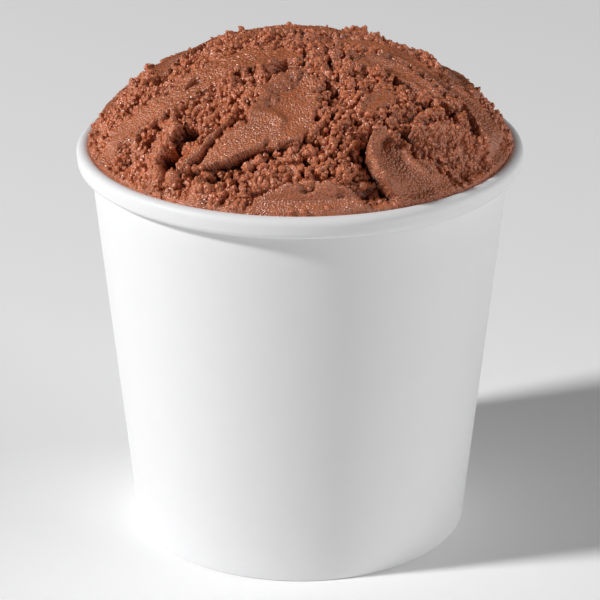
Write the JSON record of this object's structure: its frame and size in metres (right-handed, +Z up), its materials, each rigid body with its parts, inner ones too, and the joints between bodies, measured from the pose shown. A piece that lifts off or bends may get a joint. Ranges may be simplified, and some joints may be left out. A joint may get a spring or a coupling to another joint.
{
  "type": "tub of ice cream",
  "caption": "Plain white round paperboard tub with a rolled rim, tapering to its foot, filled and mounded high with spade-scraped brown ice cream.",
  "frame": {"origin": "centre of the ring that the tub stands on, at table height", "axes": "+Z up through the tub's axis; -Y towards the side with the broad scraped slab"},
  "size_m": [0.099, 0.099, 0.1148],
  "materials": {
    "tub_board": "white coated paperboard, satin",
    "base_board": "white coated paperboard, satin",
    "ice_cream": "chocolate ice cream, smooth where scraped and crumbly where torn"
  },
  "bodies": {
    "root": {"tub_wall": "tub_board", "tub_base": "base_board", "ice_cream": "ice_cream"}
  },
  "joints": []
}
